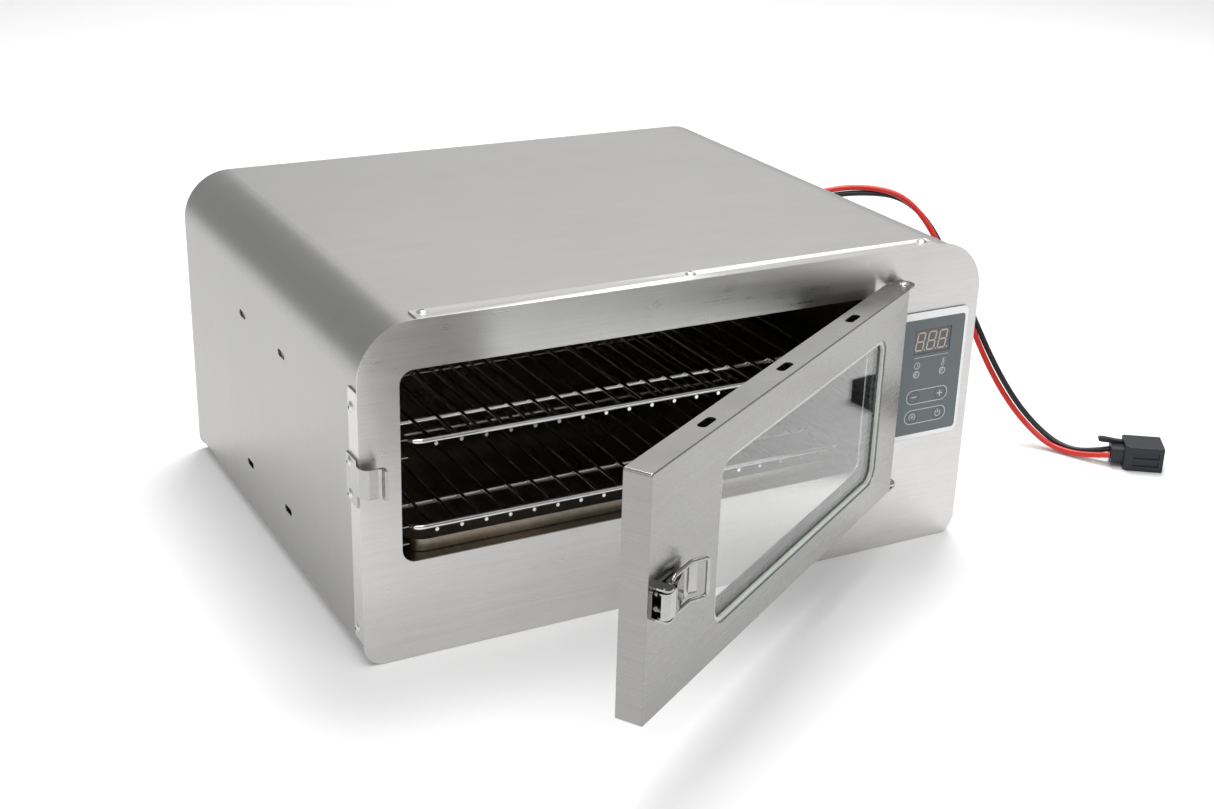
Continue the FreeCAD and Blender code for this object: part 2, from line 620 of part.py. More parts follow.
def make_hinges():
    """Each hinge is a leaf through the front panel, with the door's ear pinned on it."""
    for label, ear_base, side in (("upper", "door_base + door_height - door_thick", 1),
                                  ("lower", "door_base", -1)):
        inner = "( " + ear_base + " )" + (" - leaf_gap - leaf_thick" if side > 0 else " + door_thick + leaf_gap")
        bracket = body("HingeBracket_" + label)
        leaf = sketch_on(bracket, "XY_Plane", inner)
        outline(leaf, "-leaf_half", "-leaf_half",
                "2 * leaf_half", "leaf_half + panel_thick + leaf_thick - case_depth / 2 - axis_y",
                ("leaf_half - 0.05", "leaf_half - 0.05", "0", "0"))
        pad(bracket, leaf, "leaf_thick")
        foot = sketch_on(bracket, "XZ_Plane", "axis_y + case_depth / 2 - panel_thick")
        foot_base = inner if side > 0 else inner + " + leaf_thick - leaf_foot"
        outline(foot, "-leaf_half", foot_base, "2 * leaf_half", "leaf_foot")
        pad(bracket, foot, "leaf_thick", backwards=True)
        hole = sketch_on(bracket, "XY_Plane", "case_height")
        circle(hole, "0", "0", "pin_radius")
        pocket(bracket, hole)
        place(bracket, "axis_x", "axis_y")
        keep("hinge_bracket_" + label, bracket)

        pin = body("HingeRivet_" + label)
        profile = sketch_on(pin, "XZ_Plane")
        outer = "door_thick + leaf_gap / 2"
        polygon(profile, [("0", "-2.6 * leaf_thick"), ("pin_radius + 1", "-2.6 * leaf_thick"),
                          ("pin_radius + 1", "-leaf_thick - leaf_gap"), ("pin_radius", "-leaf_thick - leaf_gap"),
                          ("pin_radius", outer), ("rivet_head", outer), ("rivet_head - 0.2", outer + " + 0.5"),
                          ("rivet_head - 0.9", outer + " + 1"), ("rivet_head - 2", outer + " + 1.3"),
                          ("0", outer + " + 1.35")])
        spin = pin.newObject("PartDesign::Revolution", "HingeRivet_%s_turn" % label)
        spin.Profile = profile
        spin.ReferenceAxis = (profile, ["V_Axis"])
        spin.Angle = 360
        doc.recompute()
        pin.Placement = Placement(Vector(0, 0, 0), Rotation(Vector(1, 0, 0), 0 if side > 0 else 180))
        place(pin, "axis_x", "axis_y", ear_base if side > 0 else ear_base + " + door_thick")
        keep("hinge_rivet_" + label, pin)


# ---------------------------------------------------------------- toggle latch

def make_latch():
    pin_y = "-door_face - latch_pin_rise"
    base = body("LatchBase")
    ears = sketch_on(base, "XY_Plane", "latch_level")
    outline(ears, "latch_pin_x - 2.4", "-door_face - latch_pin_rise - 3.4", "2 * ear_radius - 2",
            "latch_pin_rise + 3.4", ("2.3", "3.2", "0", "0"))
    pad(base, ears, "2 * ear_half", middle=True)
    foot = sketch_on(base, "XZ_Plane", "door_face")
    outline(foot, "latch_pin_x - 2.4", "latch_level - ear_half", "20", "2 * ear_half", ("0", "2", "2", "0"))
    pad(base, foot, "ear_thick")
    lip = sketch_on(base, "XZ_Plane", "door_face")
    outline(lip, "latch_pin_x - 4.2", "latch_level - barrel_half", "3", "2 * barrel_half", ("1", "0", "0", "1"))
    pad(base, lip, "ear_thick")
    channel = sketch_on(base, "XY_Plane", "latch_level")
    outline(channel, "latch_pin_x - 8", "-door_face - latch_pin_rise - ear_radius - 1", "16",
            "latch_pin_rise + ear_radius")
    pocket(base, channel, "2 * ( ear_half - ear_thick )", middle=True)
    pivot = sketch_on(base, "XY_Plane", "latch_level + 20")
    circle(pivot, "latch_pin_x", pin_y, "latch_pin_radius")
    pocket(base, pivot, "40")
    hang_on_door("latch_base", base)

    rod = cylinder("LatchRod", "latch_pin_x", pin_y, "latch_level - ear_half", "latch_pin_radius",
                   "2 * ear_half")
    caps = []
    for name, z in (("low", "latch_level - ear_half - 0.5"), ("high", "latch_level + ear_half")):
        caps.append(cylinder("LatchRodCap_" + name, "latch_pin_x", pin_y, z, "latch_pin_radius + 0.6", "0.5"))
    hang_on_door("latch_pin", fuse("LatchPin", [rod] + caps))

    rivets = []
    for index, z in enumerate(("latch_level - 4", "latch_level + 4")):
        rivets.append(cylinder("LatchRivet%d" % index, "latch_pin_x + 1", "-door_face - 1", z, "1.6", "0.7", FORWARD))
    hang_on_door("latch_base_rivets", fuse("LatchBaseRivets", rivets))

    lever = body("LatchLever")
    barrel = sketch_on(lever, "XY_Plane", "latch_level")
    circle(barrel, "latch_pin_x", pin_y, "barrel_radius")
    pad(lever, barrel, "2 * barrel_half", middle=True)
    x, y = "latch_pin_x", pin_y
    neck = sketch_on(lever, "XY_Plane", "latch_level")
    polygon(neck, [(x, y + " - barrel_radius"), (x + " + 7", y + " - 2.7"),
                   (x + " + 7", y + " - 1.6"), (x, y + " + lever_thick - barrel_radius")])
    pad(lever, neck, "2 * barrel_half", middle=True)
    bore = sketch_on(lever, "XY_Plane", "latch_level")
    circle(bore, "latch_pin_x", pin_y, "barrel_radius - lever_thick")
    pocket(lever, bore, "2 * ( barrel_half - lever_thick )", middle=True)
    mouth = sketch_on(lever, "XY_Plane", "latch_level")
    outline(mouth, x + " - barrel_radius - 1", y + " + 0.2", "2 * barrel_radius + 2", "barrel_radius + 1")
    pocket(lever, mouth, "2 * ( barrel_half - lever_thick )", middle=True)
    tip = x + " + lever_length"
    blade = sketch_on(lever, "XY_Plane", "latch_level")
    polygon(blade, [(x + " + 6", y + " - 2.9"), (x + " + 22.5", y + " + 2.1"), (tip + " - 5", y + " + 2.5"),
                    (tip + " - 1", y + " + 0.2"), (tip, y + " + 1"), (tip + " - 4.6", y + " + 3.6"),
                    (x + " + 22.2", y + " + 3.2"), (x + " + 6", y + " - 1.8")])
    pad(lever, blade, "2 * lever_half", middle=True)
    for z in ("latch_level + lever_half - 1", "latch_level - lever_half"):
        cheek = sketch_on(lever, "XY_Plane", z)
        polygon(cheek, [(x + " + 6", y + " - 2.4"), (x + " + 16.5", y + " + 0.7"), (x + " + 16.5", y + " + 1.8"),
                        (x + " + 12.5", y + " + 3.6"), (x + " + 7", y + " + 3.6"), (x + " + 6", y + " + 2.8")])
        pad(lever, cheek, "1")
    pivot = sketch_on(lever, "XY_Plane", "latch_level + 20")
    circle(pivot, "latch_pin_x", pin_y, "latch_pin_radius + 0.05")
    circle(pivot, x + " + bail_offset", y + " + bail_drop", "bail_wire + 0.05")
    pocket(lever, pivot, "40")
    hang_on_door("latch_lever", lever)

    hang_on_door("latch_bail", bail_wire())


def bail_wire():
    """The wire loop: in through each cheek, out along the arms, stepped clear of the panel."""
    radius, half = value("bail_wire"), value("bail_half")
    start_x = value("latch_pin_x + bail_offset")
    start_y = value("-door_face - latch_pin_rise + bail_drop")
    level = value("latch_level")
    inward = value("lever_half - 1.3")
    corner = 2.4
    step_x = start_x + value("bail_straight")
    end_x = start_x + value("bail_length")
    end_y = start_y - value("bail_step")
    corners = [Vector(start_x, start_y, level - inward), Vector(start_x, start_y, level - half),
               Vector(step_x, start_y, level - half), Vector(end_x, end_y, level - half),
               Vector(end_x, end_y, level + half), Vector(step_x, start_y, level + half),
               Vector(start_x, start_y, level + half), Vector(start_x, start_y, level + inward)]
    path = rounded_path(corners, [corner] * (len(corners) - 2))
    section = Part.Wire(Part.makeCircle(radius, corners[0], Vector(0, 0, -1)))
    loop = doc.addObject("Part::Feature", "LatchBail")
    loop.Shape = path.makePipeShell([section], True, False)
    return loop


def make_keeper():
    """The hook on the casing's left wall that the bail pulls against."""
    keeper = body("Keeper")
    side = sketch_on(keeper, "XY_Plane", "keeper_middle")
    plate_x = "-case_width / 2 - keeper_thick"
    outline(side, plate_x, "-case_depth / 2 + 1", "keeper_thick", "15")
    pad(keeper, side, "27", middle=True)
    hook = sketch_on(keeper, "XY_Plane", "latch_level - 0.5")
    face = "-case_depth / 2"
    polygon(hook, [(plate_x, face + " + 3"), (plate_x, face + " - 3"), (plate_x + " + 1.6", face + " - 6.2"),
                   (plate_x + " + 4", face + " - 7.4"), (plate_x + " + 9", face + " - 7.2"),
                   (plate_x + " + 10.6", face + " - 8"), (plate_x + " + 11.2", face + " - 11.4"),
                   (plate_x + " + 12.6", face + " - 11.6"), (plate_x + " + 13", face + " - 6.8"),
                   (plate_x + " + 12", face + " - 5.8"), (plate_x + " + 4.5", face + " - 6.1"),
                   (plate_x + " + 2.4", face + " - 5.2"), (plate_x + " + keeper_thick", face + " - 2.6"),
                   (plate_x + " + keeper_thick", face + " + 3")])
    pad(keeper, hook, "2 * keeper_half", middle=True)
    round_edges(keeper, "0.3", lambda edge: upright(edge) and edge.BoundBox.YMax < value(face) - 4)
    holes = sketch_on(keeper, "YZ_Plane", "-case_width / 2 + 5")
    for z in ("keeper_middle - 9", "keeper_middle + 9.5"):
        circle(holes, "keeper_rivet_setback - case_depth / 2", z, "rivet_shank")
    pocket(keeper, holes, middle=True)
    keep("latch_keeper", keeper)
    heads = []
    for index, z in enumerate(("keeper_middle - 9", "keeper_middle + 9.5")):
        heads.append(rivet("KeeperRivet%d" % index, plate_x, "keeper_rivet_setback - case_depth / 2", z, LEFTWARD))
    keep("latch_keeper_rivets", fuse("KeeperRivets", heads))


# ---------------------------------------------------------------- control panel

KEYS = {"key_minus": ("key_left", "key_high"), "key_plus": ("key_right", "key_high"),
        "key_mode": ("key_left", "key_low"), "key_power": ("key_right", "key_low")}
PANEL_FACE = "case_depth / 2"
BOARD_DEPTH = "9"


def make_controls():
    overlay = body("Overlay")
    film = sketch_on(overlay, "XZ_Plane", PANEL_FACE)
    outline(film, "overlay_left", "overlay_base", "overlay_width", "overlay_height",
            ("overlay_radius",) * 4)
    outline(film, "display_left", "display_base", "display_width", "display_height")
    for x, z in KEYS.values():
        circle(film, x, z, "key_radius + key_gap")
    for x in ("key_left", "key_right"):
        circle(film, x, "led_level", "led_radius + 0.1")
    pad(overlay, film, "overlay_thick")
    keep("control_overlay", overlay)

    for label, (x, z) in KEYS.items():
        key = body(label)
        disc = sketch_on(key, "XZ_Plane", PANEL_FACE + " + overlay_thick")
        circle(disc, x, z, "key_radius")
        pad(key, disc, "key_thick", backwards=True)
        keep(label, key)

    board_y = BOARD_DEPTH + " - case_depth / 2"
    keep("control_board", box("ControlBoard", "overlay_left + 1", board_y, "overlay_base + 2",
                              "overlay_width - 2", "1.6", "overlay_height - 4"))
    display = box("DisplayBlock", "display_left + 0.1", "-case_depth / 2 - 0.5 * overlay_thick", "display_base + 0.1",
                  "display_width - 0.2", BOARD_DEPTH + " + 0.5 * overlay_thick", "display_height - 0.2")
    keep("display_module", display)
    lamps = []
    for index, x in enumerate(("key_left", "key_right")):
        lamps.append(cylinder("Lamp%d" % index, x, board_y, "led_level", "led_radius",
                              BOARD_DEPTH + " + 0.6 * overlay_thick", FORWARD))
    keep("indicator_lamps", fuse("IndicatorLamps", lamps))
    switches = []
    for index, (x, z) in enumerate(KEYS.values()):
        switches.append(box("Switch%d" % index, x + " - 3", "4 - case_depth / 2", z + " - 3", "6",
                            BOARD_DEPTH + " - 4", "6"))
    keep("tactile_switches", fuse("TactileSwitches", switches))
    posts = []
    for index, (x, z) in enumerate((("overlay_left + 3", "overlay_base + 4"),
                                    ("overlay_left + overlay_width - 3", "overlay_base + 4"),
                                    ("overlay_left + 3", "overlay_base + overlay_height - 4"),
                                    ("overlay_left + overlay_width - 3", "overlay_base + overlay_height - 4"))):
        posts.append(cylinder("Post%d" % index, x, board_y, z, "1.6", BOARD_DEPTH + " - panel_thick", FORWARD))
    keep("board_standoffs", fuse("BoardStandoffs", posts))

    probe = cylinder("Probe", "100", "60", "152", "2.5", "34", RIGHTWARD)
    collar = cylinder("ProbeCollar", "cavity_left + cavity_width + liner_thick + 0.1", "60", "152", "5", "3",
                      RIGHTWARD)
    keep("temperature_sensor", fuse("TemperatureSensor", [probe, collar]))
    keep("thermal_cutout", cylinder("ThermalCutout", "cavity_left + cavity_width + liner_thick + 0.1", "10", "120",
                                    "8", "9", RIGHTWARD))
    module = box("ModuleBlock", "140", "-60", "40", "40", "90", "24")
    fins = [box("ModuleFin%d" % index, "%g" % (142 + 6 * index), "-58", "64", "2", "86", "10") for index in range(7)]
    keep("power_module", fuse("PowerModule", [module] + fins))
    keep("power_module_bracket", box("ModuleBracket", "136", "-66", "2", "48", "102", "37.8"))


# ---------------------------------------------------------------- leads and connector

RED_ROUTE = [(212, 60, 161.2), (238, 57.5, 166), (262, 43.5, 169.5), (281, 25, 166.5), (293.5, 9, 150),
             (303, -6, 122), (313, -23, 86), (322.5, -40.5, 51), (333, -61, 23), (344, -84, 5),
             (352, -101, 2.2), (360, -116, 4.5), (368, -126.6, 7.5)]
BLACK_ROUTE = [(212, 60, 156.8), (238.5, 57.5, 161.5), (262, 44, 165), (283, 28.5, 164), (296.5, 12, 149.5),
               (307, -3.5, 122), (317.5, -22.5, 87), (325.5, -43, 53.5), (336, -62.5, 26), (348, -83.5, 7.5),
               (356, -99, 3), (363.5, -112, 5.5), (371.8, -121.2, 9.5)]


def rounded_path(points, radii):
    """Straight runs through the points, joined by tangent arcs of the given radii."""
    edges = []
    start = points[0]
    for index, radius in enumerate(radii, start=1):
        corner = points[index]
        back = (points[index - 1] - corner).normalize()
        onward = (points[index + 1] - corner).normalize()
        half_turn = (math.pi - back.getAngle(onward)) / 2
        reach = radius * math.tan(half_turn)
        bisector = (back + onward).normalize()
        enter = corner + back * reach
        leave = corner + onward * reach
        middle = corner + bisector * (radius / math.cos(half_turn) - radius)
        edges.append(Part.LineSegment(start, enter).toShape())
        edges.append(Part.Arc(enter, middle, leave).toShape())
        start = leave
    edges.append(Part.LineSegment(start, points[-1]).toShape())
    return Part.Wire(edges)


def lead(label, route):
    """A round lead along its route, each bend as wide as its two runs allow."""
    points = [Vector(*point) for point in route]
    radii = []
    for index in range(1, len(points) - 1):
        back = points[index - 1] - points[index]
        onward = points[index + 1] - points[index]
        half_turn = (math.pi - back.getAngle(onward)) / 2
        radii.append(0.45 * min(back.Length, onward.Length) / math.tan(half_turn))
    path = rounded_path(points, radii)
    radius = value("lead_radius")
    section = Part.Wire(Part.makeCircle(radius, points[0], points[1] - points[0]))
    tube = doc.addObject("Part::Feature", label)
    tube.Shape = path.makePipeShell([section], True, False)
    print(label, "length %.1f" % path.Length, "radii", [round(size) for size in radii],
          "volume ratio %.4f" % (tube.Shape.Volume / (math.pi * radius ** 2 * path.Length)))
    keep(label, tube)


def on_plug(thing):
    """Place an object modelled along +X from the leads' end onto the connector's own line."""
    thing.Placement = Placement(Vector(0, 0, 0), Rotation(Vector(0, 0, 1), value("plug_heading")))
    place(thing, "plug_x", "plug_y")
    thing.setExpression("Placement.Rotation.Angle", e("plug_heading"))
    return thing


def make_leads():
    gland = body("Gland")
    profile = sketch_on(gland, "XZ_Plane")
    polygon(profile, [("-6", "0"), ("-6", "6.4"), ("-4", "6.4"), ("-4", "4.9"), ("-1", "4.9"), ("-1", "6"),
                      ("3", "6"), ("4", "5.4"), ("gland_reach", "4.4"), ("gland_reach", "0")])
    turn = gland.newObject("PartDesign::Revolution", "GlandTurn")
    turn.Profile = profile
    turn.ReferenceAxis = (profile, ["H_Axis"])
    turn.Angle = 360
    doc.recompute()
    place(gland, "case_width / 2", "gland_y", "gland_z")
    keep("cable_gland", gland)

    lead("red_lead", RED_ROUTE)
    lead("black_lead", BLACK_ROUTE)

    boot = body("Boot")
    neck = sketch_on(boot, "YZ_Plane")
    outline(neck, "-7.5", "2.5", "15", "12", ("3", "3", "3", "3"))
    pad(boot, neck, "8.5")
    keep("connector_boot", on_plug(boot))

    housing = body("Housing")
    block = sketch_on(housing, "XY_Plane")
    polygon(block, [("8.5", "-9.5"), ("11.5", "-12"), ("35", "-12"), ("35", "12"), ("11.5", "12"),
                    ("8.5", "9.5")])
    pad(housing, block, "18")
    round_edges(housing, "1.5", lambda edge: abs(edge.tangentAt(edge.FirstParameter).x) > 0.99)
    for side in ("-12.1", "11.1"):
        for level in ("4", "9.6"):
            groove = sketch_on(housing, "YZ_Plane", "14")
            outline(groove, side, level, "1", "4.4")
            pocket(housing, groove, "18", backwards=True)
    socket = sketch_on(housing, "YZ_Plane", "35")
    outline(socket, "-9.5", "2.5", "19", "13", ("2", "2", "2", "2"))
    pocket(housing, socket, "11")
    keep("connector_housing", on_plug(housing))

    blades = []
    for index, y in enumerate(("-6.5", "2.5")):
        blades.append(box("Contact%d" % index, "24", y, "7", "8", "4", "4"))
    contacts = fuse("Contacts", blades)
    keep("connector_contacts", on_plug(contacts))

    strap = body("Strap")
    loop = sketch_on(strap, "XZ_Plane", "-4")
    polygon(loop, [("8.5", "14.5"), ("8.5", "16.4"), ("3", "16.8"), ("-4.5", "17.9"), ("-7.5", "18"),
                   ("-8.8", "16.8"), ("-8.2", "15.2"), ("-5", "14.7"), ("1.5", "14.5")])
    pad(strap, loop, "4", middle=True)
    keep("connector_strap", on_plug(strap))


# ---------------------------------------------------------------- build, check, write

make_casing()
make_casing_rivets()
make_liner()
make_racks()
make_door()
make_hinges()
make_latch()
make_keeper()
make_controls()
make_leads()
doc.recompute()

faults = []
for item in doc.Objects:
    if "Invalid" in item.State or "Error" in item.State:
        faults.append("%s is %s" % (item.Name, item.State))
for label, item in parts.items():
    if item.Shape.isNull() or not item.Shape.isValid() or not item.Shape.Solids:
        faults.append(label + " has no valid solid")
if faults:
    raise SystemExit("\n".join(faults))

for label, item in parts.items():
    item.Shape.exportStep("parts/%s.step" % label)
print(len(parts), "sub-parts written")
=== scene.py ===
"""A portable 12 V camping oven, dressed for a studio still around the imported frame."""
import math

import bmesh
import bpy
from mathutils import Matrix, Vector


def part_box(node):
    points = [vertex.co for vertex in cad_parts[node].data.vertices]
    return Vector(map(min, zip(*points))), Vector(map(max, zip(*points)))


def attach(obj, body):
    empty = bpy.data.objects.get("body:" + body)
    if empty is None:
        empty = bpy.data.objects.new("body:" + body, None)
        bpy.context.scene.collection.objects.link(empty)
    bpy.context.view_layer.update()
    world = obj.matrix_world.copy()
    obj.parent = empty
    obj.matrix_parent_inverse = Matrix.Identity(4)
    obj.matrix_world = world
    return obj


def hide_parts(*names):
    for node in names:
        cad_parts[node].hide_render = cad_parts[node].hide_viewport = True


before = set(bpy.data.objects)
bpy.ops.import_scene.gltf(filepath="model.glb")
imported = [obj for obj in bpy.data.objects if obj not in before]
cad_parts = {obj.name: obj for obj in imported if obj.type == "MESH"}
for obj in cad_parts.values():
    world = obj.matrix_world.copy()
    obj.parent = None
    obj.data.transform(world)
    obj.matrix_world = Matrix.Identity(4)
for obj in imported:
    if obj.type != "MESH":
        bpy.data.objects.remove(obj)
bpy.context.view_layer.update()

# ---------------------------------------------------------------- camera

IMAGE_WIDTH = 1214              # pixels
FOCAL_LENGTH = 1739.4           # pixels
SENSOR = 36.0                   # millimetres
CAMERA_PLACE = (-0.47838, -0.94094, 0.49547)
CAMERA_TURNS = (67.2867, -1.7857, -28.3631)

bpy.context.scene.view_settings.view_transform = "Standard"
camera_data = bpy.data.cameras.new("studio_camera")
camera_data.sensor_width = SENSOR
camera_data.lens = FOCAL_LENGTH * SENSOR / IMAGE_WIDTH
camera_data.shift_x = -0.0138
camera_data.shift_y = 0.0085
camera_data.clip_start = 0.05
camera_data.clip_end = 60
camera = bpy.data.objects.new("studio_camera", camera_data)
camera.location = CAMERA_PLACE
camera.rotation_euler = [math.radians(turn) for turn in CAMERA_TURNS]
bpy.context.collection.objects.link(camera)
bpy.context.scene.camera = camera


# ---------------------------------------------------------------- materials

class Surface:
    """A node material on a Principled shader, whose detail is laid out in the part's own metres."""

    NOISE_LOW, NOISE_HIGH = 0.3, 0.7    # the range that most of a noise's values fall in

    def __init__(self, name, **sockets):
        self.material = bpy.data.materials.new(name)
        self.material.use_nodes = True
        self.nodes = self.material.node_tree.nodes
        self.links = self.material.node_tree.links
        self.shader = self.nodes["Principled BSDF"]
        for socket, value in sockets.items():
            self.shader.inputs[socket.replace("_", " ")].default_value = value
        self.place = self.nodes.new("ShaderNodeTexCoord").outputs["Object"]

    def noise(self, per_metre, detail=3.0, roughness=0.55):
        """Noise with per_metre features a metre, given as one number or as X, Y and Z."""
        mapping = self.nodes.new("ShaderNodeMapping")
        mapping.vector_type = "POINT"
        scale = per_metre if isinstance(per_metre, tuple) else (per_metre,) * 3
        mapping.inputs["Scale"].default_value = scale
        self.links.new(self.place, mapping.inputs["Vector"])
        noise = self.nodes.new("ShaderNodeTexNoise")
        noise.inputs["Scale"].default_value = 1.0
        noise.inputs["Detail"].default_value = detail
        noise.inputs["Roughness"].default_value = roughness
        self.links.new(mapping.outputs["Vector"], noise.inputs["Vector"])
        return noise.outputs["Fac"]

    def blend(self, first, second, share):
        """first times share plus second times the rest."""
        node = self.nodes.new("ShaderNodeMix")
        node.inputs["Factor"].default_value = 1 - share
        self.links.new(first, node.inputs["A"])
        self.links.new(second, node.inputs["B"])
        return node.outputs["Result"]

    def colour(self, factor, *stops):
        """Base colour from factor through (position, colour) stops."""
        ramp = self.nodes.new("ShaderNodeValToRGB")
        elements = ramp.color_ramp.elements
        while len(elements) < len(stops):
            elements.new(0.5)
        for element, (position, tint) in zip(elements, stops):
            element.position = position
            element.color = (*tint, 1)
        self.links.new(factor, ramp.inputs["Fac"])
        self.links.new(ramp.outputs["Color"], self.shader.inputs["Base Color"])

    def gloss(self, factor, low, high):
        """Roughness from low to high, following factor."""
        node = self.nodes.new("ShaderNodeMapRange")
        node.inputs["From Min"].default_value = self.NOISE_LOW
        node.inputs["From Max"].default_value = self.NOISE_HIGH
        node.inputs["To Min"].default_value = low
        node.inputs["To Max"].default_value = high
        self.links.new(factor, node.inputs["Value"])
        self.links.new(node.outputs["Result"], self.shader.inputs["Roughness"])

    def relief(self, factor, strength, depth):
        """A bump of at most depth metres, following factor."""
        bump = self.nodes.new("ShaderNodeBump")
        bump.inputs["Strength"].default_value = strength
        bump.inputs["Distance"].default_value = depth
        self.links.new(factor, bump.inputs["Height"])
        self.links.new(bump.outputs["Normal"], self.shader.inputs["Normal"])


def metal_tones(level, contrast, warm, dark_at, bright_at):
    """Three colour stops around a grey level, with red up and blue down by warm."""
    return [(position, (value * (1 + warm), value, value * (1 - warm)))
            for position, value in ((dark_at, level * (1 - contrast)), (0.5, level),
                                    (bright_at, min(1.0, level * (1 + contrast))))]


# Noise features a metre
HAIR_ALONG, BAND_ALONG = 22, 7      # fine and coarse scratches, along the grain
RUB_MARKS = 55
PITTING = 1400
MOULD_DRIFT = 38


def brushed(name, level, rough, grain, fine=1500, coarse=300, contrast=0.12, depth=0.28, cloud=9,
            spin=0.0):
    """Brushed stainless sheet.

    grain names the axis the scratches run along, or two of them. fine and coarse are scratches a
    metre across the grain, cloud is blotches a metre, and depth is how strong the scratches are.
    """
    surface = Surface(name, Metallic=1.0, Anisotropic=spin, Anisotropic_Rotation=0.25)

    def streaks(across, along):
        return tuple(along if axis in grain else across for axis in "xyz")

    hair = surface.noise(streaks(fine, HAIR_ALONG), detail=2)
    band = surface.noise(streaks(coarse, BAND_ALONG), detail=4, roughness=0.65)
    drift = surface.noise(cloud, detail=4, roughness=0.6)
    rub = surface.noise(RUB_MARKS, detail=5, roughness=0.7)
    lines = surface.blend(hair, band, 0.55)
    tone = surface.blend(lines, surface.blend(drift, rub, 0.7), 0.55)
    surface.colour(tone, *metal_tones(level, contrast, 0.012, 0.34, 0.66))
    surface.gloss(surface.blend(lines, rub, 0.6), rough - depth / 4, rough + depth / 3)
    surface.relief(lines, depth, 0.00012)
    return surface.material


def polished(name, level, rough, warm=0.0, spots=120):
    """Plated or drawn metal with faint wear and pitting, spots a metre."""
    surface = Surface(name, Metallic=1.0)
    wear = surface.noise(spots, detail=5, roughness=0.65)
    fine = surface.noise(PITTING, detail=2)
    tone = surface.blend(wear, fine, 0.7)
    surface.colour(tone, *metal_tones(level, 0.12, warm, 0.32, 0.7))
    surface.gloss(tone, max(0.03, rough - 0.05), rough + 0.08)
    surface.relief(tone, 0.12, 0.0001)
    return surface.material


def moulded(name, tint, rough, variation=0.12, grain=900, depth=0.00008):
    """Moulded plastic, rubber or film with a fine texture, grain features a metre."""
    surface = Surface(name)
    skin = surface.noise(grain, detail=3, roughness=0.6)
    drift = surface.noise(MOULD_DRIFT, detail=4)
    tone = surface.blend(skin, drift, 0.45)
    dark = tuple(channel * (1 - variation) for channel in tint)
    bright = tuple(min(1.0, channel * (1 + variation)) for channel in tint)
    surface.colour(tone, (0.33, dark), (0.5, tint), (0.68, bright))
    surface.gloss(tone, max(0.04, rough - 0.07), rough + 0.09)
    surface.relief(skin, 0.25, depth)
    return surface.material


def printed(name, tint, rough=0.45, variation=0.06, grain=1200):
    """A thin print or film, nearly flat."""
    return moulded(name, tint, rough, variation=variation, grain=grain, depth=0.00002)


def dark_liner():
    """A dark, brownish sheet inside the oven, blotched at random and streaked along Y."""
    surface = Surface("liner_look", Metallic=1.0)
    # random blotches that make the sheet darker and browner in patches
    liner_blotches = surface.noise((11, 11, 16), detail=5, roughness=0.65)
    draw = surface.noise((420, 14, 420), detail=3)
    tone = surface.blend(liner_blotches, draw, 0.7)
    surface.colour(tone, (0.3, (0.13, 0.115, 0.095)), (0.5, (0.24, 0.21, 0.17)),
                   (0.72, (0.38, 0.32, 0.25)))
    surface.gloss(tone, 0.24, 0.38)
    surface.relief(draw, 0.2, 0.0001)
    return surface.material


def clear_glass():
    """Clear glass with faint smears."""
    surface = Surface("door_glass_look", IOR=1.46, Transmission_Weight=1.0)
    smear = surface.noise((30, 30, 18), detail=5, roughness=0.7)
    surface.colour(smear, (0.3, (0.95, 0.97, 0.96)), (0.7, (0.985, 0.995, 0.99)))
    surface.gloss(smear, 0.0, 0.018)
    return surface.material


casing_steel = brushed("casing_steel_look", 0.38, 0.36, "xz", fine=1300, coarse=150,
                       contrast=0.06, depth=0.05, cloud=7)
panel_steel = brushed("panel_steel_look", 0.62, 0.30, "x", spin=0.85)
door_steel = brushed("door_steel_look", 0.30, 0.26, "xy", coarse=240, contrast=0.09, depth=0.18)
latch_steel = polished("latch_steel_look", 0.40, 0.14, warm=0.01)
rivet_metal = polished("rivet_look", 0.60, 0.24, spots=400)
chrome_wire = polished("rack_wire_look", 0.72, 0.12, spots=300)
zinc = polished("zinc_look", 0.56, 0.3, warm=0.03)
liner_steel = dark_liner()
heater = polished("heater_look", 0.16, 0.34, warm=0.06)
red_skin = moulded("red_lead_look", (0.60, 0.022, 0.012), 0.34, variation=0.10, grain=700)
black_skin = moulded("black_lead_look", (0.012, 0.012, 0.015), 0.36, variation=0.25, grain=700)
connector_skin = moulded("connector_look", (0.006, 0.008, 0.013), 0.5, variation=0.25, grain=1100)
overlay_film = moulded("overlay_look", (0.115, 0.136, 0.143), 0.42, variation=0.10, grain=1500,
                       depth=0.00003)
key_film = moulded("key_look", (0.110, 0.130, 0.137), 0.40, variation=0.10, grain=1500,
                   depth=0.00003)
white_print = printed("white_print_look", (0.86, 0.87, 0.87), variation=0.03)
grey_print = printed("grey_print_look", (0.52, 0.55, 0.56))
display_face = printed("display_look", (0.095, 0.098, 0.100), 0.25, variation=0.08, grain=500)
digit_print = printed("digit_look", (0.47, 0.42, 0.36), 0.4, grain=900)
lamp_lens = moulded("lamp_look", (0.30, 0.31, 0.30), 0.2, variation=0.1)
seal_rubber = moulded("seal_look", (0.45, 0.46, 0.44), 0.5, variation=0.08)
gasket_rubber = moulded("gasket_look", (0.62, 0.65, 0.61), 0.35, variation=0.06)
wool = moulded("wool_look", (0.62, 0.60, 0.54), 0.85, variation=0.2, grain=350, depth=0.0015)
board = moulded("board_look", (0.02, 0.10, 0.035), 0.4, variation=0.2)
glass = clear_glass()


def paint(material, *nodes):
    """Give CAD nodes a material."""
    for node in nodes:
        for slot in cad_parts[node].material_slots:
            slot.material = material


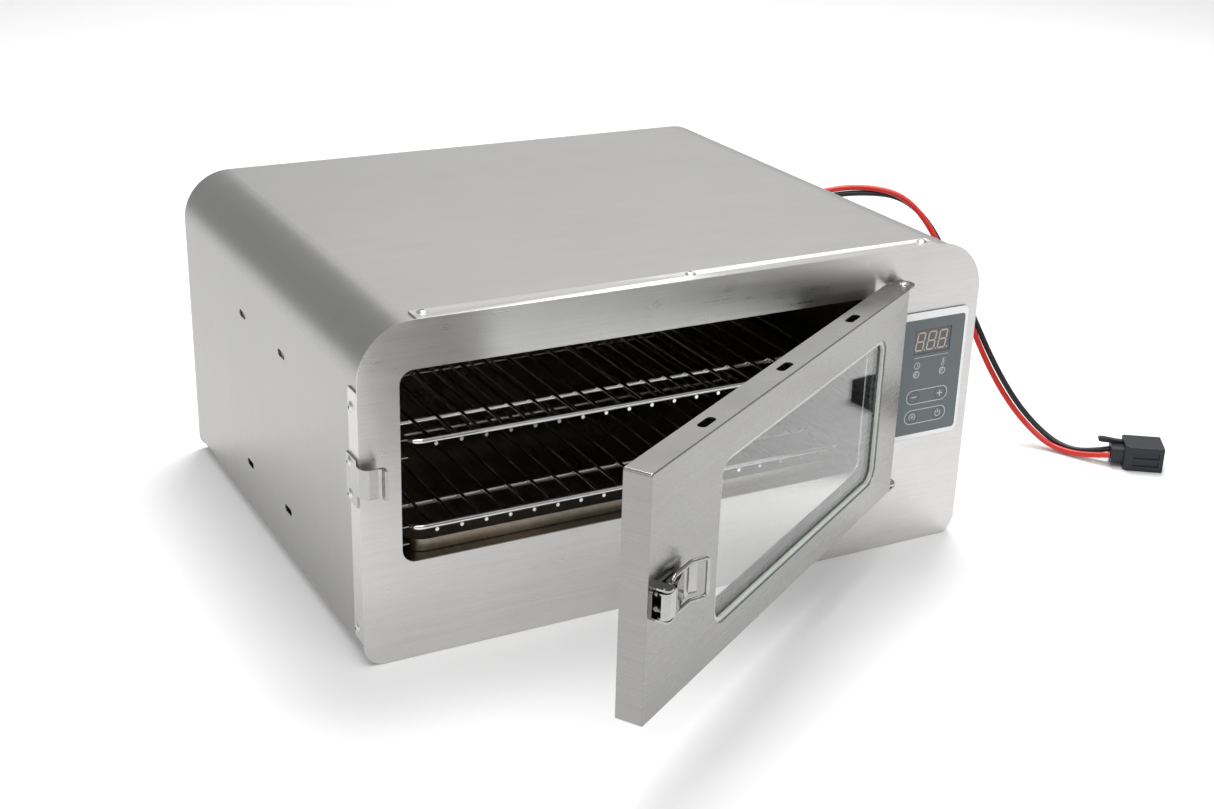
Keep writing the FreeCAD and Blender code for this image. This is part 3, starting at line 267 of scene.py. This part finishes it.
paint(casing_steel, "outer_casing", "base_plate", "rear_panel")
paint(panel_steel, "front_panel")
paint(door_steel, "door_shell", "door_inner_panel", "glass_retainer_upper",
      "glass_retainer_lower")
paint(latch_steel, "latch_base", "latch_lever", "latch_bail", "latch_pin", "latch_keeper")
paint(zinc, "hinge_bracket_upper", "hinge_bracket_lower", "power_module_bracket",
      "connector_contacts")
paint(rivet_metal, "front_panel_rivets", "latch_base_rivets", "latch_keeper_rivets",
      "hinge_rivet_upper", "hinge_rivet_lower")
paint(liner_steel, "oven_liner", "drip_tray", "upper_rack_rail_left", "upper_rack_rail_right",
      "lower_rack_rail_left", "lower_rack_rail_right")
paint(chrome_wire, "upper_rack", "lower_rack")
paint(heater, "upper_heating_element", "lower_heating_element", "temperature_sensor",
      "power_module")
paint(glass, "door_glass")
paint(gasket_rubber, "glass_gasket")
paint(seal_rubber, "door_seal")
paint(overlay_film, "control_overlay")
paint(key_film, "key_minus", "key_plus", "key_mode", "key_power")
paint(display_face, "display_module")
paint(lamp_lens, "indicator_lamps")
paint(board, "control_board")
paint(wool, "insulation_left", "insulation_top", "insulation_bottom", "insulation_rear")
paint(connector_skin, "cable_gland", "connector_boot", "connector_housing", "connector_strap",
      "board_standoffs", "tactile_switches", "thermal_cutout")


# ---------------------------------------------------------------- leads

LEAD_DIAMETER = 0.004
# from the gland on the right wall to the connector's boot, in millimetres
RED_ROUTE = [(212, 60, 161.2), (238, 57.5, 166), (262, 43.5, 169.5), (281, 25, 166.5),
             (293.5, 9, 150), (303, -6, 122), (313, -23, 86), (322.5, -40.5, 51), (333, -61, 23),
             (344, -84, 5), (352, -101, 2.2), (360, -116, 4.5), (368, -126.6, 7.5)]
BLACK_ROUTE = [(212, 60, 156.8), (238.5, 57.5, 161.5), (262, 44, 165), (283, 28.5, 164),
               (296.5, 12, 149.5), (307, -3.5, 122), (317.5, -22.5, 87), (325.5, -43, 53.5),
               (336, -62.5, 26), (348, -83.5, 7.5), (356, -99, 3), (363.5, -112, 5.5),
               (371.8, -121.2, 9.5)]


def lead(name, node, route, material):
    """A round flexible lead on one smooth NURBS line through its route."""
    points = [tuple(size / 1000 for size in point) for point in route]
    curve = bpy.data.curves.new(name, "CURVE")
    curve.dimensions = "3D"
    curve.bevel_depth = LEAD_DIAMETER / 2
    curve.bevel_resolution = 6
    curve.resolution_u = 16
    curve.use_fill_caps = True
    spline = curve.splines.new("NURBS")
    spline.points.add(len(points) - 1)
    for control, point in zip(spline.points, points):
        control.co = (*point, 1)
    spline.order_u = 3
    spline.use_endpoint_u = True
    curve.materials.append(material)
    piece = bpy.data.objects.new(name, curve)
    bpy.context.collection.objects.link(piece)
    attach(piece, "oven")
    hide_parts(node)
    return piece, points[0]


red_piece, red_exit = lead("flex_red", "red_lead", RED_ROUTE, red_skin)
black_piece, black_exit = lead("flex_black", "black_lead", BLACK_ROUTE, black_skin)


# ---------------------------------------------------------------- printed control panel
# Every size below is in millimetres, in the part's own X and Z.

MM = 0.001                      # metres
FILM_FRONT = -162.8             # front face of the overlay and of the keys
DISPLAY_FRONT = -162.4
PRINT = 0.06                    # how far a print stands proud
LEFT, RIGHT = 157.8, 177.4      # centres of the two columns of lamps and keys
LAMPS, UPPER_KEYS, LOWER_KEYS = 114.5, 99.6, 86.4
KEYS_LEFT, KEYS_RIGHT = 151.9, 183.3    # ends of the line around a pair of keys
CLOCK, BULB = 120.3, 118.9      # centres of the clock and of the thermometer's bulb
ICON = 0.7                      # stroke of the minus and plus
THIN = 0.5                      # stroke of the mode and power signs


def circle(cx, cz, radius, start=0.0, sweep=360.0, steps=40):
    """Points along an arc, both ends included unless it closes on itself."""
    count = steps + 1 if sweep < 360 else steps
    turns = [math.radians(start + sweep * step / steps) for step in range(count)]
    return [(cx + radius * math.cos(turn), cz + radius * math.sin(turn)) for turn in turns]


def rounded(x0, z0, x1, z1, radius):
    """A rounded rectangle's outline, anticlockwise seen from the front."""
    points = []
    for cx, cz, start in ((x1 - radius, z1 - radius, 0), (x0 + radius, z1 - radius, 90),
                          (x0 + radius, z0 + radius, 180), (x1 - radius, z0 + radius, 270)):
        points += circle(cx, cz, radius, start, 90, steps=8)
    return points


class Print:
    """Thin raised print on a face that looks to -Y."""

    CAP_STEPS = 4               # facets in the rounded end of a stroke

    def __init__(self, name, material, face):
        self.name, self.material, self.back, self.front = name, material, face, face - PRINT
        self.mesh = bmesh.new()

    def corner(self, point, y):
        return self.mesh.verts.new((point[0] * MM, y * MM, point[1] * MM))

    def solid(self, outline):
        """The inside of an outline."""
        front = [self.corner(point, self.front) for point in outline]
        back = [self.corner(point, self.back) for point in outline]
        self.mesh.faces.new(front)
        self.mesh.faces.new(back[::-1])
        for index in range(len(outline)):
            after = (index + 1) % len(outline)
            self.mesh.faces.new((front[index], back[index], back[after], front[after]))

    def band(self, outer, inner, closed=True):
        """The strip between two lines with as many points each."""
        outer_front, outer_back, inner_front, inner_back = [
            [self.corner(point, y) for point in line]
            for line in (outer, inner) for y in (self.front, self.back)]
        count = len(outer)
        for index in range(count if closed else count - 1):
            after = (index + 1) % count
            for near, far in ((outer_front, inner_front), (inner_front, inner_back),
                              (inner_back, outer_back), (outer_back, outer_front)):
                self.mesh.faces.new((near[index], far[index], far[after], near[after]))
        if not closed:
            for index in (0, count - 1):
                self.mesh.faces.new((outer_front[index], inner_front[index],
                                     inner_back[index], outer_back[index]))

    def ring(self, cx, cz, outer, inner, **arc):
        """A circle's or an arc's band between two radii."""
        self.band(circle(cx, cz, outer, **arc), circle(cx, cz, inner, **arc), closed=not arc)

    def frame(self, x0, z0, x1, z1, radius, line):
        """A line just inside a rounded rectangle."""
        self.band(rounded(x0, z0, x1, z1, radius),
                  rounded(x0 + line, z0 + line, x1 - line, z1 - line, radius - line))

    def bar(self, x0, z0, x1, z1, width):
        """A straight stroke with rounded ends."""
        angle = math.atan2(z1 - z0, x1 - x0)
        points = []
        for x, z, start in ((x1, z1, angle - math.pi / 2), (x0, z0, angle + math.pi / 2)):
            for step in range(self.CAP_STEPS + 1):
                turn = start + math.pi * step / self.CAP_STEPS
                points.append((x + width / 2 * math.cos(turn), z + width / 2 * math.sin(turn)))
        self.solid(points)

    def finish(self, body):
        """Close the mesh and let it ride a body."""
        bmesh.ops.recalc_face_normals(self.mesh, faces=self.mesh.faces)
        data = bpy.data.meshes.new(self.name)
        self.mesh.to_mesh(data)
        self.mesh.free()
        data.materials.append(self.material)
        piece = bpy.data.objects.new(self.name, data)
        bpy.context.collection.objects.link(piece)
        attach(piece, body)


low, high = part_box("control_overlay")
film_left, film_right = low[0] * 1000, high[0] * 1000
film_base, film_top = low[2] * 1000, high[2] * 1000

MARGIN = 0.1                    # bare film outside the white border
BORDER_LEFT, BORDER_RIGHT, BORDER_BASE, BORDER_TOP = 2.3, 2.2, 3.0, 4.8
border = Print("overlay_border", white_print, FILM_FRONT)
border.band(rounded(film_left + MARGIN, film_base + MARGIN,
                    film_right - MARGIN, film_top - MARGIN, 3.9),
            rounded(film_left + BORDER_LEFT, film_base + BORDER_BASE,
                    film_right - BORDER_RIGHT, film_top - BORDER_TOP, 2.4))
border.finish("oven")

marks = Print("overlay_marks", grey_print, FILM_FRONT)
for column in (LEFT, RIGHT):
    marks.ring(column, LAMPS, 2.35, 1.75)
for row in (UPPER_KEYS, LOWER_KEYS):
    marks.frame(KEYS_LEFT, row - 4.75, KEYS_RIGHT, row + 4.75, 4.7, 0.5)
marks.bar(155.2, 125.4, 180.4, 125.4, 0.35)     # a rule below the display
marks.ring(LEFT, CLOCK, 2.2, 1.8)
marks.bar(LEFT, CLOCK, LEFT, CLOCK + 1.3, 0.4)
marks.bar(LEFT, CLOCK, LEFT + 1.0, CLOCK - 0.4, 0.4)
marks.ring(RIGHT, BULB, 1.15, 0.75)
marks.bar(RIGHT, BULB + 1.0, RIGHT, BULB + 3.6, 0.8)
for rise in (1.7, 2.6, 3.5):
    marks.bar(RIGHT + 1.1, BULB + rise, RIGHT + 1.9, BULB + rise, 0.28)
marks.finish("oven")

DIGIT_WIDTH, DIGIT_HEIGHT, DIGIT_PITCH, STROKE, SLANT = 5.4, 11.2, 8.3, 1.0, 0.14
DIGIT_LEFT, DIGIT_MIDDLE = 156.2, 135.5
SEGMENT_GAP = 0.15
digits = Print("display_digits", digit_print, DISPLAY_FRONT)


def segment(x, z, dx, dz):
    """One bar of a digit: a hexagon from (x, z) along (dx, dz), leaning with the digit."""
    length = math.hypot(dx, dz)
    ux, uz = dx / length, dz / length
    half = STROKE / 2
    tip, shoulder = SEGMENT_GAP, SEGMENT_GAP + half
    outline = []
    for along, across in ((tip, 0), (shoulder, half), (length - shoulder, half),
                          (length - tip, 0), (length - shoulder, -half), (shoulder, -half)):
        px, pz = x + along * ux - across * uz, z + along * uz + across * ux
        outline.append((px + (pz - DIGIT_MIDDLE) * SLANT, pz))
    digits.solid(outline)


for digit in range(3):
    left = DIGIT_LEFT + DIGIT_PITCH * digit
    half = DIGIT_HEIGHT / 2
    base = DIGIT_MIDDLE - half
    for level in range(3):
        segment(left, base + half * level, DIGIT_WIDTH, 0)
    for side in (0, DIGIT_WIDTH):
        for level in range(2):
            segment(left + side, base + half * level, 0, half)
    digits.solid(circle(left + DIGIT_WIDTH + 0.9, base, 0.55, steps=12))
digits.finish("oven")

minus = Print("icon_minus", grey_print, FILM_FRONT)
minus.bar(LEFT - 1.7, UPPER_KEYS, LEFT + 1.7, UPPER_KEYS, ICON)
minus.finish("key_minus")

plus = Print("icon_plus", grey_print, FILM_FRONT)
plus.bar(RIGHT - 1.7, UPPER_KEYS, RIGHT + 1.7, UPPER_KEYS, ICON)
plus.bar(RIGHT, UPPER_KEYS + 0.6, RIGHT, UPPER_KEYS + 1.7, ICON)
plus.bar(RIGHT, UPPER_KEYS - 0.6, RIGHT, UPPER_KEYS - 1.7, ICON)
plus.finish("key_plus")

mode = Print("icon_mode", grey_print, FILM_FRONT)
mode.ring(LEFT, LOWER_KEYS, 2.5, 2.05, start=-60, sweep=290)
mode.bar(LEFT, LOWER_KEYS - 1.2, LEFT, LOWER_KEYS + 1.2, THIN)
mode.bar(LEFT - 1.2, LOWER_KEYS, LEFT - 0.6, LOWER_KEYS, THIN)
mode.bar(LEFT + 0.6, LOWER_KEYS, LEFT + 1.2, LOWER_KEYS, THIN)
mode.finish("key_mode")

power = Print("icon_power", grey_print, FILM_FRONT)
power.ring(RIGHT, LOWER_KEYS - 0.2, 2.2, 1.7, start=120, sweep=300)
power.bar(RIGHT, LOWER_KEYS + 0.2, RIGHT, LOWER_KEYS + 2.5, THIN)
power.finish("key_power")


# ---------------------------------------------------------------- floor and light

FLOOR_HALF = 7                  # metres from its middle to its edges
FLOOR_DROP = 0.0002             # keeps the floor just clear of the oven's underside


def flat_floor():
    """A wide pale floor."""
    surface = Surface("floor_look", Roughness=0.8)
    drift = surface.noise(1.5, detail=2)
    surface.colour(drift, (0.2, (0.86, 0.86, 0.86)), (0.8, (0.90, 0.90, 0.90)))
    mesh = bmesh.new()
    bmesh.ops.create_grid(mesh, x_segments=8, y_segments=8, size=FLOOR_HALF)
    data = bpy.data.meshes.new("studio_floor")
    mesh.to_mesh(data)
    mesh.free()
    data.materials.append(surface.material)
    floor = bpy.data.objects.new("studio_floor", data)
    floor.location = (0, 0, -FLOOR_DROP)
    bpy.context.collection.objects.link(floor)


def softbox(name, place, aim, size, power):
    """A square area light at place, facing aim."""
    data = bpy.data.lights.new(name, "AREA")
    data.shape = "SQUARE"
    data.size = size
    data.energy = power
    light = bpy.data.objects.new(name, data)
    light.location = place
    dx, dy, dz = [place[index] - aim[index] for index in range(3)]
    light.rotation_euler = (math.atan2(math.hypot(dx, dy), dz), 0, math.atan2(dx, -dy))
    bpy.context.collection.objects.link(light)


flat_floor()
world = bpy.data.worlds.new("studio_world")
bpy.context.scene.world = world
world.use_nodes = True
background = world.node_tree.nodes["Background"]
background.inputs["Color"].default_value = (1.0, 1.0, 1.0, 1)
background.inputs["Strength"].default_value = 0.46
softbox("softbox_back", (0.6, 0.65, 2.3), (0.1, -0.1, 0), 1.1, 46)
softbox("softbox_top", (-0.4, -1.3, 2.8), (0, -0.5, 0), 1.8, 34)
softbox("softbox_left", (-1.5, -0.9, 1.1), (0, -0.3, 0.1), 0.9, 8)
softbox("softbox_glow", (1.4, 2.2, 1.7), (0, 0, 0.1), 2.4, 9)
